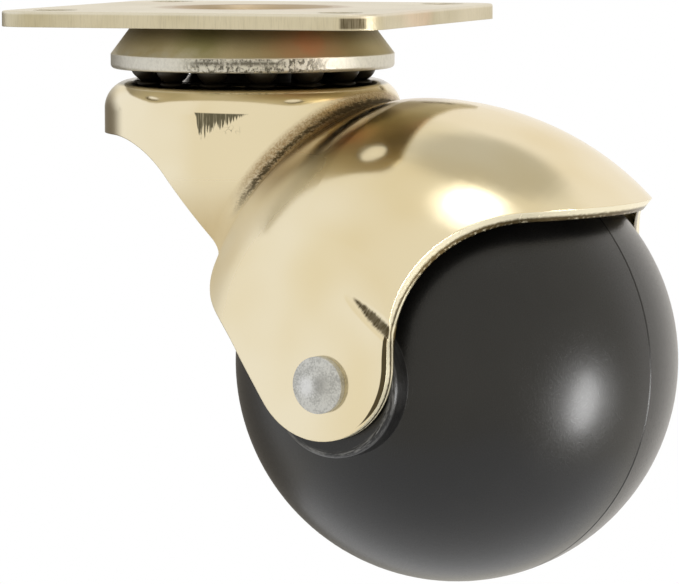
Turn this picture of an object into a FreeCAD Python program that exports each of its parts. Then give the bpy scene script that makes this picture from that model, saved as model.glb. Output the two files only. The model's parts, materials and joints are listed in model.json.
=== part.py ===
import FreeCAD, Part
import math
import os

from FreeCAD import Vector

# Hooded ball castor on a screw-on plate, in millimetres.
# The origin is on the swivel axis in the plate's top face, +Z is up,
# and the plate's sides lie along X and Y. The hood, the axle and the ball are
# drawn trailing along +X and are then turned about the swivel axis.

# Turn of the hood about the swivel axis, in degrees
REST_TURN = -12.5

# Top plate: a square pressing with a dish for the head of the king rivet
PLATE_SIDE = 46.5
PLATE_SHEET = 1.8
PLATE_CORNER_R = 4.5
SCREW_SPACING = 35.0
SCREW_HOLE_R = 2.6
DISH_R = 9.5
DISH_DEPTH = 1.7
SHEAR_ROLLOVER = 0.25

# Race cup under the plate
CUP_SHEET = 2.0
CUP_SHOULDER_R = 14.0
CUP_RIM_R = 16.7
CUP_RIM_TOP = 5.4
CUP_RIM_H = 1.7
CUP_RIM_ROUND = 0.5

# Swivel balls
SWIVEL_BALL_R = 1.98
SWIVEL_BALL_COUNT = 14
RACE_GAP = 0.03
RACE_GROOVE_DEPTH = 0.3
RACE_GROOVE_CLEARANCE = 0.12

# Hood: a turret about the swivel axis drawn into a dome over the ball
HOOD_SHEET = 1.5
HOOD_DROP = 8.4
TURRET_R = 17.45
TURRET_SHOULDER_R = 3.4
DOME_TOP_DROP = 10.1
DOME_ROOM = 5.4
DOME_SINK = 2.3
DOME_CROWN_AHEAD = 4.5
NOSE_ROOM = 1.1
TAIL_ROOM = 3.8
CREASE_R = 2.0
EAR_ROOM = 1.7
EAR_BLEND_R = 12.0
EAR_TIP_R = 8.8
EAR_TIP_AHEAD = 0.3
EAR_TIP_RISE = 2.5
VALLEY_R = 3.0
VALLEY_RUN = 4.9
VALLEY_FALL = 3.4
VALLEY_RISE = 6.9
VALLEY_FRONT_DEPTH = 0.3
VALLEY_BACK_DEPTH = 0.6
LIP_DEPTH = 14.6
LIP_CORNER_X = -4.2
LIP_CORNER_R = 12.0
HIP_AHEAD = 19.2
HIP_RISE = 10.2
HIP_R = 10.0
KNEE_AHEAD = 12.6
KNEE_RISE = 5.2
KNEE_R = 15.0
ARCH_R = 25.0
BRIM_HALF_ANGLE = 52.0
BRIM_TILT = 16.0

# King rivet and its washer
KING_SHANK_R = 4.5
KING_TENON_R = 3.2
KING_HEAD_R = 7.0
KING_HEAD_H = 1.8
PEEN_R = 5.6
PEEN_H = 1.3
WASHER_R = 8.5
WASHER_T = 1.2
SWIVEL_CLEARANCE = 0.06
WASHER_GAP = 0.15

# Ball wheel, its axle rivet and the sleeve that it turns on
TRAIL = 28.1
BALL_R = 25.4
PARTING_DEPTH = 0.1
PARTING_WIDTH = 0.35
BOSS_R = 8.4
BOSS_ROUND = 0.8
BOSS_GAP = 0.3
AXLE_R = 2.38
AXLE_HEAD_R = 3.15
AXLE_HEAD_EDGE = 0.75
AXLE_HEAD_DOME = 0.6
AXLE_FIT = 0.05
SLEEVE_R = 3.2
BORE_CLEARANCE = 0.06

# The dome and the ears clear the ball by their rooms, and the axle hangs from the dome's top
DOME_R = BALL_R + DOME_ROOM + HOOD_SHEET
DOME_CROWN_X = TRAIL - DOME_CROWN_AHEAD
DOME_FRONT_L = BALL_R + NOSE_ROOM + HOOD_SHEET - DOME_CROWN_AHEAD
DOME_REAR_L = BALL_R + TAIL_ROOM + HOOD_SHEET + DOME_CROWN_AHEAD
EAR_FACE = BALL_R + EAR_ROOM + HOOD_SHEET
AXLE_DROP = DOME_TOP_DROP + DOME_R - DOME_SINK

Z = Vector(0, 0, 1)
Y = Vector(0, 1, 0)
SWIVEL = Vector(0, 0, 0)
AXLE = Vector(TRAIL, 0, -AXLE_DROP)
HOOD_TOP = -HOOD_DROP
CUP_TOP = -PLATE_SHEET
# Share of a sheet's thickness by which a 45 degree bend moves its corner
BEND_SHIFT = math.tan(math.radians(22.5))


def face_of(points):
    """Flat face bounded by straight lines through the points."""
    return Part.Face(Part.makePolygon(points + [points[0]]))


def spun(points):
    """Solid turned about the swivel axis from (radius, z) points."""
    outline = [Vector(r, 0, z) for r, z in points]
    return face_of(outline).revolve(SWIVEL, Z, 360)


def turned(shape):
    """The shape carried round the swivel axis to the hood's rest turn."""
    copy = shape.copy()
    copy.rotate(SWIVEL, Z, REST_TURN)
    return copy


def pin(radius, start, length, axis):
    """Plain round pin."""
    return Part.makeCylinder(radius, length, start, axis)


def dish_profile():
    """Top and bottom (radius, z) corners of the plate's dish, rim first."""
    floor_r = DISH_R - DISH_DEPTH
    shift = PLATE_SHEET * BEND_SHIFT
    top = [(DISH_R, 0), (floor_r, -DISH_DEPTH)]
    under = [(DISH_R + shift, -PLATE_SHEET), (floor_r + shift, -DISH_DEPTH - PLATE_SHEET)]
    return top, under


def mounting_plate():
    """Square plate with round corners, four screw holes and the dish."""
    half = PLATE_SIDE / 2
    blank = Part.makeBox(PLATE_SIDE, PLATE_SIDE, PLATE_SHEET, Vector(-half, -half, -PLATE_SHEET))
    corners = [e for e in blank.Edges if abs(e.BoundBox.ZLength - PLATE_SHEET) < 1e-6]
    blank = blank.makeFillet(PLATE_CORNER_R, corners)
    rim = [e for e in blank.Edges if abs(e.BoundBox.ZMin) < 1e-6 and abs(e.BoundBox.ZMax) < 1e-6]
    blank = blank.makeFillet(SHEAR_ROLLOVER, rim)
    top, under = dish_profile()
    hollow = spun([(0, 1), (DISH_R, 1)] + top + [(0, -DISH_DEPTH)])
    pressed = spun([(0, -PLATE_SHEET)] + under + [(0, under[1][1])])
    plate = blank.fuse(pressed).cut(hollow)
    for sx in (-1, 1):
        for sy in (-1, 1):
            centre = Vector(sx * SCREW_SPACING / 2, sy * SCREW_SPACING / 2, -2 * PLATE_SHEET)
            plate = plate.cut(pin(SCREW_HOLE_R, centre, 3 * PLATE_SHEET, Z))
    tenon_hole = pin(KING_TENON_R, Vector(0, 0, -PLATE_SHEET - 2 * DISH_DEPTH), AXLE_DROP, Z)
    return plate.cut(tenon_hole).removeSplitter()


def cone_normal():
    """Outward (radial, z) normal of the cup's flared wall."""
    run = CUP_RIM_R - CUP_SHOULDER_R
    fall = CUP_RIM_TOP - PLATE_SHEET
    length = math.hypot(run, fall)
    return fall / length, run / length


def cone_radius(depth_in, z):
    """Radius at height z of the cup's flare, depth_in below its outer skin."""
    nr, nz = cone_normal()
    return CUP_SHOULDER_R + (-depth_in - (z - CUP_TOP) * nz) / nr


def cup_floor():
    """Height of the underside of the cup's centre."""
    return -DISH_DEPTH - PLATE_SHEET - CUP_SHEET


def race_cup():
    """Pressed cup: nested dish, flat ring and flared wall that holds the balls."""
    _, under = dish_profile()
    shift = CUP_SHEET * BEND_SHIFT
    ring_under = CUP_TOP - CUP_SHEET
    rim_bottom = -CUP_RIM_TOP - CUP_RIM_H
    outline = [
        (KING_TENON_R, under[1][1]),
        (under[1][0], under[1][1]),
        (under[0][0], under[0][1]),
        (CUP_SHOULDER_R, CUP_TOP),
        (CUP_RIM_R, -CUP_RIM_TOP),
        (CUP_RIM_R, rim_bottom),
        (cone_radius(CUP_SHEET, rim_bottom), rim_bottom),
        (cone_radius(CUP_SHEET, ring_under), ring_under),
        (under[0][0] + shift, ring_under),
        (under[1][0] + shift, cup_floor()),
        (KING_TENON_R, cup_floor()),
    ]
    cup = spun(outline)
    rim = [e for e in cup.Edges if abs(e.BoundBox.ZMax - rim_bottom) < 1e-6
           and e.BoundBox.XMax > CUP_RIM_R - 1e-3]
    return cup.makeFillet(CUP_RIM_ROUND, rim)


def swivel_ball_place():
    """Pitch radius and height of the swivel balls, seated between the two races."""
    z = HOOD_TOP - RACE_GROOVE_DEPTH + RACE_GAP + SWIVEL_BALL_R
    return cone_radius(CUP_SHEET + RACE_GAP + SWIVEL_BALL_R, z), z


def swivel_ball(index):
    """One ball of the swivel race."""
    pitch_r, z = swivel_ball_place()
    angle = math.radians(REST_TURN + index * 360 / SWIVEL_BALL_COUNT)
    return Part.makeSphere(SWIVEL_BALL_R, Vector(pitch_r * math.cos(angle), pitch_r * math.sin(angle), z))


def turret(inset):
    """Round turret with a rolled shoulder, open downwards, inset by a wall."""
    radius = TURRET_R - inset
    roll = TURRET_SHOULDER_R - inset
    top = HOOD_TOP - inset
    foot = -AXLE_DROP - inset
    turn = roll * math.sqrt(0.5)
    shoulder = Part.Arc(
        Vector(radius - roll, 0, top),
        Vector(radius - roll + turn, 0, top - roll + turn),
        Vector(radius, 0, top - roll),
    )
    edges = [
        Part.makeLine(Vector(0, 0, top), Vector(radius - roll, 0, top)),
        shoulder.toShape(),
        Part.makeLine(Vector(radius, 0, top - roll), Vector(radius, 0, foot)),
        Part.makeLine(Vector(radius, 0, foot), Vector(0, 0, foot)),
        Part.makeLine(Vector(0, 0, foot), Vector(0, 0, top)),
    ]
    return Part.Face(Part.Wire(edges)).revolve(SWIVEL, Z, 360)


def quarter_ellipse(centre, along, radius):
    """Arc of an ellipse from its crown at +Z to its end on the X line, along either way."""
    points = []
    for degrees in (90, 45, 0):
        t = math.radians(degrees)
        points.append(centre + Vector(along * math.cos(t), 0, radius * math.sin(t)))
    if abs(along) >= radius:
        ellipse = Part.Ellipse(points[2], points[0], centre)
    else:
        ellipse = Part.Ellipse(points[0], points[2], centre)
    first = ellipse.parameter(points[0])
    last = ellipse.parameter(points[2])
    middle = ellipse.parameter(points[1])
    if not min(first, last) < middle < max(first, last):
        first, last = max(first, last), min(first, last) + 2 * math.pi
    return Part.Edge(ellipse, min(first, last), max(first, last))


def dome(inset):
    """Egg-shaped dome about a line along X a little below the ball's centre."""
    centre = Vector(DOME_CROWN_X, 0, -AXLE_DROP - DOME_SINK)
    radius = DOME_R - inset
    front = quarter_ellipse(centre, -(DOME_FRONT_L - inset), radius)
    rear = quarter_ellipse(centre, DOME_REAR_L - inset, radius)
    nose = centre + Vector(-(DOME_FRONT_L - inset), 0, 0)
    tail = centre + Vector(DOME_REAR_L - inset, 0, 0)
    outline = Part.Wire(Part.__sortEdges__([front, rear, Part.makeLine(tail, nose)]))
    return Part.Face(outline).revolve(centre, Vector(1, 0, 0), 360)


def eared_dome(inset):
    """Dome with a flat pressed into each side and blended into it."""
    egg = dome(inset)
    face = EAR_FACE - inset
    reach = TRAIL + 2 * DOME_REAR_L
    slab = Part.makeBox(2 * reach, 2 * face, 2 * reach, Vector(-reach, -face, -reach))
    flat = egg.common(slab)
    rims = [e for e in flat.Edges if e.BoundBox.YLength < 1e-3 and abs(e.BoundBox.YMax) > face - 1e-3]
    return flat.makeFillet(EAR_BLEND_R - inset, rims)


def hood_form(inset):
    """Solid bounded by the hood's skin, inset by a wall, with a rounded crease."""
    body = turret(inset).fuse(eared_dome(inset))
    creases = [e for e in body.Edges if is_crease(e, inset)]
    return body.makeFillet(CREASE_R + inset, creases)


def is_crease(edge, inset):
    """Whether an edge runs where the turret's wall enters the dome."""
    middle = edge.valueAt((edge.FirstParameter + edge.LastParameter) / 2)
    off_wall = TURRET_R - inset - math.hypot(middle.x, middle.y)
    on_dome = ((middle.x - DOME_CROWN_X) / (DOME_FRONT_L - inset)) ** 2
    on_dome += (middle.y ** 2 + (middle.z + AXLE_DROP + DOME_SINK) ** 2) / (DOME_R - inset) ** 2
    return -1e-3 < off_wall < TURRET_SHOULDER_R and abs(on_dome - 1) < 1e-3 and middle.z > -AXLE_DROP + 1


def ear_back():
    """Distance along X of the ears' straight back edge."""
    return TRAIL - EAR_TIP_AHEAD + EAR_TIP_R


def rounded(before, corner, after, radius):
    """Ends and arc of a corner rounded to the radius, between two neighbouring points."""
    back = (before - corner).normalize()
    ahead = (after - corner).normalize()
    half = back.getAngle(ahead) / 2
    reach = radius / math.tan(half)
    towards = (back + ahead).normalize()
    middle = corner + towards * (radius / math.sin(half) - radius)
    start = corner + back * reach
    end = corner + ahead * reach
    return start, Part.Arc(start, middle, end).toShape(), end


def skirt_cut():
    """Waste below the hood's front lip, legs and ear tips, straight through both sides."""
    ear = AXLE + Vector(-EAR_TIP_AHEAD, 0, EAR_TIP_RISE)
    lip = Vector(LIP_CORNER_X, 0, -LIP_DEPTH)
    hip = AXLE + Vector(-HIP_AHEAD, 0, HIP_RISE)
    knee = AXLE + Vector(-KNEE_AHEAD, 0, KNEE_RISE)
    to_ear = ear - knee
    slope = math.atan2(to_ear.z, to_ear.x) - math.asin(EAR_TIP_R / to_ear.Length)
    tip_start = ear + Vector(math.sin(slope), 0, -math.cos(slope)) * EAR_TIP_R
    tip_middle = ear - Z * EAR_TIP_R
    tip_end = Vector(ear_back(), 0, ear.z)
    front = -2 * TURRET_R
    back = TRAIL + 2 * DOME_REAR_L
    floor = -AXLE_DROP - 2 * DOME_R
    lip_front = Vector(front, 0, lip.z)
    lip_end, lip_arc, leg_start = rounded(lip_front, lip, hip, LIP_CORNER_R)
    leg_end, hip_arc, thigh_start = rounded(lip, hip, knee, HIP_R)
    thigh_end, knee_arc, shin_start = rounded(hip, knee, tip_start, KNEE_R)
    corners = [
        tip_end, Vector(back, 0, ear.z), Vector(back, 0, floor), Vector(front, 0, floor), lip_front, lip_end,
    ]
    edges = [Part.makeLine(a, b) for a, b in zip(corners, corners[1:])]
    edges += [lip_arc, Part.makeLine(leg_start, leg_end), hip_arc]
    edges += [Part.makeLine(thigh_start, thigh_end), knee_arc, Part.makeLine(shin_start, tip_start)]
    edges.append(Part.Arc(tip_start, tip_middle, tip_end).toShape())
    waste = Part.Face(Part.Wire(edges)).extrude(Y * 2 * DOME_R)
    waste.translate(Y * -DOME_R)
    return waste


def mouth_cut():
    """Waste behind the ears: the ball's mouth, with a brim cut square to the sheet."""
    reach = 2 * DOME_R
    pole = Vector(ear_back(), 0, -AXLE_DROP)
    block = Part.makeBox(reach, 2 * reach, 2 * reach, pole - Vector(0, reach, reach))
    tilt = math.radians(BRIM_TILT)
    half = math.radians(BRIM_HALF_ANGLE)
    lean = Vector(-math.sin(tilt), 0, math.cos(tilt))
    cone = Part.makeCone(0, 2 * reach * math.tan(half), 2 * reach, pole, lean)
    core = Part.makeSphere(BALL_R / 2, pole)
    waste = block.cut(cone).cut(core)
    arches = [e for e in waste.Edges if is_arch(e, pole, half, tilt)]
    return waste.makeFillet(ARCH_R, arches)


def valley_cuts():
    """Round tools for the valley above each ear, which fades out away from the ear's back edge."""
    back_end = Vector(ear_back(), 0, -AXLE_DROP + VALLEY_RISE)
    front_end = back_end + Vector(-VALLEY_RUN, 0, VALLEY_FALL)
    cuts = []
    for side in (-1, 1):
        front = front_end + Y * side * (EAR_FACE - VALLEY_FRONT_DEPTH + VALLEY_R)
        back = back_end + Y * side * (EAR_FACE - VALLEY_BACK_DEPTH + VALLEY_R)
        run = back - front
        cuts.append(pin(VALLEY_R, front - run, 3 * run.Length, run))
    return Part.makeCompound(cuts)


def is_arch(edge, pole, half, tilt):
    """Whether an edge of the mouth's waste is the corner between an ear's back and the brim."""
    middle = edge.valueAt((edge.FirstParameter + edge.LastParameter) / 2) - pole
    rise = math.asin(math.cos(half) / math.cos(tilt))
    return abs(middle.x) < 1e-6 and abs(middle.z - abs(middle.y) * math.tan(rise)) < 1e-3


def hood():
    """Drawn sheet hood: turret, dome and two ears, with the ball race and the rivet holes."""
    shell = hood_form(0).cut(hood_form(HOOD_SHEET))
    shell = shell.cut(skirt_cut()).cut(mouth_cut()).cut(valley_cuts())
    pitch_r, ball_z = swivel_ball_place()
    groove = Part.makeTorus(pitch_r, SWIVEL_BALL_R + RACE_GROOVE_CLEARANCE,
                            Vector(0, 0, ball_z + RACE_GROOVE_CLEARANCE - RACE_GAP))
    shell = shell.cut(groove)
    king_hole = pin(KING_SHANK_R + SWIVEL_CLEARANCE, Vector(0, 0, -AXLE_DROP / 2), AXLE_DROP, Z)
    axle_hole = pin(AXLE_R + AXLE_FIT, AXLE - Y * DOME_R, 2 * DOME_R, Y)
    return shell.cut(king_hole).cut(axle_hole)


def washer_top():
    """Height of the washer's upper face, just under the hood's top."""
    return HOOD_TOP - HOOD_SHEET - WASHER_GAP


def king_washer():
    """Washer that carries the hood on the king rivet's head."""
    seat = Vector(0, 0, washer_top() - WASHER_T)
    disc = pin(WASHER_R, seat, WASHER_T, Z)
    return disc.cut(pin(KING_SHANK_R, seat, WASHER_T, Z))


def king_rivet():
    """Headed pin: round head, journal, and a tenon peened over in the plate's dish."""
    head_top = washer_top() - WASHER_T
    peen_floor = -DISH_DEPTH
    head = pin(KING_HEAD_R, Vector(0, 0, head_top - KING_HEAD_H), KING_HEAD_H, Z)
    lower = [e for e in head.Edges if abs(e.BoundBox.ZMax - head_top + KING_HEAD_H) < 1e-6]
    head = head.makeFillet(KING_HEAD_H / 2, lower)
    journal = pin(KING_SHANK_R, Vector(0, 0, head_top), cup_floor() - head_top, Z)
    tenon = pin(KING_TENON_R, Vector(0, 0, cup_floor()), peen_floor - cup_floor(), Z)
    cap_r = (PEEN_R ** 2 + PEEN_H ** 2) / (2 * PEEN_H)
    cap = Part.makeSphere(cap_r, Vector(0, 0, peen_floor + PEEN_H - cap_r))
    above = pin(2 * cap_r, Vector(0, 0, peen_floor), 2 * cap_r, Z)
    return head.fuse(journal).fuse(tenon).fuse(cap.common(above)).removeSplitter()


def ear_inside():
    """Distance from the mid-plane to the ears' inner faces."""
    return EAR_FACE - HOOD_SHEET


def axle_spun(points):
    """Solid turned about the axle from (radius, distance along Y) points."""
    outline = [AXLE + Vector(r, y, 0) for r, y in points]
    return face_of(outline).revolve(AXLE, Y, 360)


def axle_rivet():
    """Axle pin with a low domed head on each ear."""
    edge = EAR_FACE + AXLE_HEAD_EDGE
    crown = edge + AXLE_HEAD_DOME
    return axle_spun([
        (0, -crown), (AXLE_HEAD_R, -edge), (AXLE_HEAD_R, -EAR_FACE), (AXLE_R, -EAR_FACE),
        (AXLE_R, EAR_FACE), (AXLE_HEAD_R, EAR_FACE), (AXLE_HEAD_R, edge), (0, crown),
    ])


def axle_sleeve():
    """Spacer tube that keeps the ears apart and carries the ball."""
    end = ear_inside()
    bore = AXLE_R + AXLE_FIT
    return axle_spun([(bore, -end), (SLEEVE_R, -end), (SLEEVE_R, end), (bore, end)])


def ball_wheel():
    """Rubber ball with a parting groove, a hub boss on each cheek and a bore for the sleeve."""
    ball = Part.makeSphere(BALL_R, AXLE, Y)
    boss_end = ear_inside() - BOSS_GAP
    boss = pin(BOSS_R, AXLE - Y * boss_end, 2 * boss_end, Y)
    boss = boss.makeFillet(BOSS_ROUND, [e for e in boss.Edges if e.BoundBox.YLength < 1e-3])
    bore = pin(SLEEVE_R + BORE_CLEARANCE, AXLE - Y * BALL_R * 2, BALL_R * 4, Y)
    crest = BALL_R + PARTING_DEPTH
    root = BALL_R - PARTING_DEPTH
    parting = axle_spun([(crest, -PARTING_WIDTH), (root, 0), (crest, PARTING_WIDTH)])
    return ball.fuse(boss).cut(bore).cut(parting)


def main():
    """Builds every piece and writes it to its own file."""
    pieces = {
        "mounting_plate": mounting_plate(),
        "race_cup": race_cup(),
        "king_rivet": king_rivet(),
        "king_washer": king_washer(),
        "hood": turned(hood()),
        "axle_rivet": turned(axle_rivet()),
        "axle_sleeve": turned(axle_sleeve()),
        "ball_wheel": turned(ball_wheel()),
    }
    for index in range(SWIVEL_BALL_COUNT):
        pieces[f"swivel_ball_{index + 1:02d}"] = swivel_ball(index)
    os.makedirs("parts", exist_ok=True)
    for name, shape in pieces.items():
        shape.exportStep(f"parts/{name}.step")
        print(name, len(shape.Solids), shape.isValid(), round(shape.Volume, 1))


main()
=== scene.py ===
"""Looks of a hooded ball castor: finishes for its pressed, plated and moulded pieces, and a white studio."""

import json
import logging
import math
from dataclasses import dataclass
from enum import Enum
from typing import Any, Sequence, Union

import bpy
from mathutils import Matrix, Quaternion, Vector


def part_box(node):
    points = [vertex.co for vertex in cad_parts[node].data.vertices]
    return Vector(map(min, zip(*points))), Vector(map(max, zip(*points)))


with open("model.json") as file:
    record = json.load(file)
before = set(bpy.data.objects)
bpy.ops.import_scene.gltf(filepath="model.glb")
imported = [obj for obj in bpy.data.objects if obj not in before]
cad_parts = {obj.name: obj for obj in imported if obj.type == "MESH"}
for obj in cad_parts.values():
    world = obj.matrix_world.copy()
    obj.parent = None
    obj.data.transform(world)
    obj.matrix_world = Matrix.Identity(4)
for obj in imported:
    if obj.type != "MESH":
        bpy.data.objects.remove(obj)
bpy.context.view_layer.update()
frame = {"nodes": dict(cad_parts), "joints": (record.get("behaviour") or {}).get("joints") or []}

LOG = logging.getLogger("castor")
MM = 0.001
PER_MM = 1000.0

Triple = tuple[float, float, float]
Colour = Triple
Span = tuple[float, float]

WHITE: Colour = (1.0, 1.0, 1.0)
PLAIN_CONTRAST: Span = (0.3, 0.7)
BEVEL_SAMPLES = 4


class Value:
    """A shader socket that takes part in Python expressions."""

    def __init__(self, shader: "Shader", socket: bpy.types.NodeSocket) -> None:
        """Wraps an output socket of the shader's tree."""
        self.shader = shader
        self.socket = socket

    def __add__(self, other: Any) -> "Value":
        """self + other."""
        return self.shader.maths("ADD", self, other)

    def __radd__(self, other: Any) -> "Value":
        """other + self."""
        return self.shader.maths("ADD", other, self)

    def __sub__(self, other: Any) -> "Value":
        """self - other."""
        return self.shader.maths("SUBTRACT", self, other)

    def __rsub__(self, other: Any) -> "Value":
        """other - self."""
        return self.shader.maths("SUBTRACT", other, self)

    def __mul__(self, other: Any) -> "Value":
        """self * other."""
        return self.shader.maths("MULTIPLY", self, other)

    def __rmul__(self, other: Any) -> "Value":
        """other * self."""
        return self.shader.maths("MULTIPLY", other, self)

    def __truediv__(self, other: Any) -> "Value":
        """self / other."""
        return self.shader.maths("DIVIDE", self, other)

    def __rtruediv__(self, other: Any) -> "Value":
        """other / self."""
        return self.shader.maths("DIVIDE", other, self)

    def __abs__(self) -> "Value":
        """abs(self)."""
        return self.shader.maths("ABSOLUTE", self)

    def at_least(self, other: Any) -> "Value":
        """The larger of the two."""
        return self.shader.maths("MAXIMUM", self, other)

    def at_most(self, other: Any) -> "Value":
        """The smaller of the two."""
        return self.shader.maths("MINIMUM", self, other)

    def ramp(self, low: float, high: float) -> "Value":
        """Smooth rise from 0 at low to 1 at high, or a fall where low is the larger.

        Args:
            low: Input that gives 0.
            high: Input that gives 1.

        Returns:
            A value from 0 to 1.
        """
        if low > high:
            return 1.0 - self.ramp(high, low)
        sockets = {"Value": self, 1: low, 2: high}
        return self.shader.node("ShaderNodeMapRange", {"interpolation_type": "SMOOTHSTEP"}, sockets).first

    def near(self, centre: float, reach: float) -> "Value":
        """1 at the centre, falling smoothly to 0 at the reach on both sides."""
        return abs(self - centre).ramp(reach, 0.0)

    def between(self, low: float, high: float) -> "Value":
        """Runs from low, where this value is 0, to high, where it is 1."""
        return low + (high - low) * self


@dataclass
class Placed:
    """A node that was added to a tree, with its outputs at hand."""

    shader: "Shader"
    node: bpy.types.Node

    @property
    def first(self) -> Value:
        """The node's first output."""
        return self.out(0)

    def out(self, key: Union[int, str]) -> Value:
        """The output of that name or number."""
        return Value(self.shader, self.node.outputs[key])


class Shader:
    """A node tree under construction, in a material or in the world."""

    def __init__(self, tree: bpy.types.NodeTree) -> None:
        """Empties the tree and starts on it."""
        self.tree = tree
        self.tree.nodes.clear()

    def node(self, kind: str, settings: dict[str, Any], sockets: dict[Any, Any]) -> Placed:
        """Adds one node.

        Args:
            kind: Blender's type name of the node.
            settings: Attributes that are set first.
            sockets: Values or links of the inputs, by name or number.

        Returns:
            The node, with its outputs at hand.
        """
        node = self.tree.nodes.new(kind)
        for name, value in settings.items():
            setattr(node, name, value)
        for key, value in sockets.items():
            self._feed(node.inputs[key], value)
        return Placed(self, node)

    def _feed(self, socket: bpy.types.NodeSocket, value: Any) -> None:
        """Links a value to an input, or sets a constant there.

        Args:
            socket: The input.
            value: A link, a number, a vector or a colour.
        """
        if isinstance(value, Placed):
            value = value.first
        if isinstance(value, Value):
            self.tree.links.new(value.socket, socket)
        elif socket.type == "RGBA" and len(value) == 3:
            socket.default_value = (*value, 1.0)
        else:
            socket.default_value = value

    def maths(self, operation: str, *values: Any) -> Value:
        """One Math node on one or two values."""
        return self.node("ShaderNodeMath", {"operation": operation}, dict(enumerate(values))).first

    def vector_maths(self, operation: str, *vectors: Any) -> Value:
        """One Vector Math node on one or two vectors."""
        return self.node("ShaderNodeVectorMath", {"operation": operation}, dict(enumerate(vectors))).first

    def dot(self, first: Any, second: Any) -> Value:
        """Dot product of two vectors."""
        settings = {"operation": "DOT_PRODUCT"}
        return self.node("ShaderNodeVectorMath", settings, {0: first, 1: second}).out("Value")

    def blend(self, share: Any, first: Any, second: Any) -> Value:
        """Colour between the first, at a share of 0, and the second, at 1."""
        settings = {"data_type": "RGBA", "blend_type": "MIX"}
        return self.node("ShaderNodeMix", settings, {0: share, 6: first, 7: second}).out(2)

    def noise(self, place: Value, scale: float, detail: float = 3.0, rough: float = 0.55) -> Value:
        """Fractal noise from 0 to 1 at a place."""
        sockets = {"Vector": place, "Scale": scale, "Detail": detail, "Roughness": rough}
        return self.node("ShaderNodeTexNoise", {"noise_dimensions": "3D"}, sockets).first

    def parts(self, vector: Value) -> tuple[Value, Value, Value]:
        """The vector's three parts."""
        split = self.node("ShaderNodeSeparateXYZ", {}, {0: vector})
        return split.out(0), split.out(1), split.out(2)

    def joined(self, x: Value, y: Value, z: Value) -> Value:
        """The vector of three parts."""
        return self.node("ShaderNodeCombineXYZ", {}, {0: x, 1: y, 2: z}).first

    def length(self, *values: Value) -> Value:
        """Root of the sum of squares of lengths at right angles to each other."""
        squares = [value * value for value in values]
        return self.maths("SQRT", sum(squares[1:], start=squares[0]))


@dataclass(frozen=True)
class CastorFrame:
    """Places of the castor's axes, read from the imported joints."""

    trail: float
    drop: float
    turn: float

    @classmethod
    def read(cls, joints: Sequence[dict[str, Any]]) -> "CastorFrame":
        """Finds the axle's place from the wheel joint.

        Args:
            joints: The frame's joints.

        Returns:
            Trail and drop of the axle in millimetres, and the hood's turn in radians.
        """
        wheel = next(j for j in joints if j["name"] == "wheel_spin")
        x, y, z = wheel["pos_m"]
        return cls(math.hypot(x, y) * PER_MM, -z * PER_MM, math.atan2(y, x))

    def along_trail(self, shader: Shader, vector: Value, kind: str) -> Value:
        """A vector of the part's frame, turned so that X runs along the hood's trail."""
        sockets = {"Rotation": (0.0, 0.0, -self.turn), "Vector": vector}
        return shader.node("ShaderNodeMapping", {"vector_type": kind}, sockets).first


CASTOR = CastorFrame.read(frame["joints"])


@dataclass(frozen=True)
class Spot:
    """A shaded place on a piece, with the measures that marks are set by. All marks are in millimetres."""

    shader: Shader
    place: Value
    x: Value
    y: Value
    z: Value
    radius: Value

    @classmethod
    def at(cls, shader: Shader, place: Value) -> "Spot":
        """Takes a place apart, and finds its distance from the swivel axis."""
        x, y, z = shader.parts(place)
        return cls(shader, place, x, y, z, shader.length(x, y))

    def noise(self, scale: float, **fractal: float) -> Value:
        """Fractal noise from 0 to 1, with the shader's detail and rough where they aren't given."""
        return self.shader.noise(self.place, scale, **fractal)

    def streaks(self, stretch: Triple, **fractal: float) -> Value:
        """Fractal noise that is drawn out along the axes with a small stretch."""
        stretched = self.shader.vector_maths("MULTIPLY", self.place, stretch)
        return self.shader.noise(stretched, 1.0, **fractal)

    def within(self, **spans: Span) -> Value:
        """Product of the ramps over the measures that are named: x, y, z or radius."""
        ramps = [getattr(self, measure).ramp(*span) for measure, span in spans.items()]
        return math.prod(ramps[1:], start=ramps[0])

    def from_axle(self, ahead: float = 0.0, up: float = 0.0) -> Value:
        """Distance from the axle's line, or from a line beside it, in the hood's frame."""
        return self.shader.length(self.x - (CASTOR.trail + ahead), self.z + (CASTOR.drop - up))


class Finish:
    """Base of the finishes: a material with a node tree and one shader in it."""

    name = "finish"

    def material(self) -> bpy.types.Material:
        """Makes the material.

        Returns:
            A material whose tree holds this finish.
        """
        made = bpy.data.materials.new(self.name)
        made.use_nodes = True
        shader = Shader(made.node_tree)
        surface = self.surface(shader)
        shader.node("ShaderNodeOutputMaterial", {}, {"Surface": surface})
        return made

    def surface(self, shader: Shader) -> Placed:
        """Adds the nodes of this finish and returns its shader node."""
        raise NotImplementedError

    def spot(self, shader: Shader) -> Spot:
        """The shaded place in the part's own frame."""
        return Spot.at(shader, self._place(shader))

    def hood_spot(self, shader: Shader) -> Spot:
        """The shaded place with X along the hood's trail."""
        return Spot.at(shader, CASTOR.along_trail(shader, self._place(shader), "POINT"))

    def _place(self, shader: Shader) -> Value:
        """The shaded place in millimetres."""
        coords = shader.node("ShaderNodeTexCoord", {}, {}).out("Object")
        return shader.vector_maths("MULTIPLY", coords, (PER_MM, PER_MM, PER_MM))

    def normal(self, shader: Shader, height: Any, depth: float, edge: float) -> Value:
        """Surface normal with rounded edges and a bump.

        Args:
            shader: The tree.
            height: Bump height, about 0 to 1.
            depth: Height of the bump in millimetres.
            edge: Radius of rounded edges in millimetres.

        Returns:
            The normal.
        """
        rounded = shader.node("ShaderNodeBevel", {"samples": BEVEL_SAMPLES}, {"Radius": edge * MM})
        bump = {"Strength": 1.0, "Distance": depth * MM, "Height": height, "Normal": rounded}
        return shader.node("ShaderNodeBump", {}, bump).first


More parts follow.
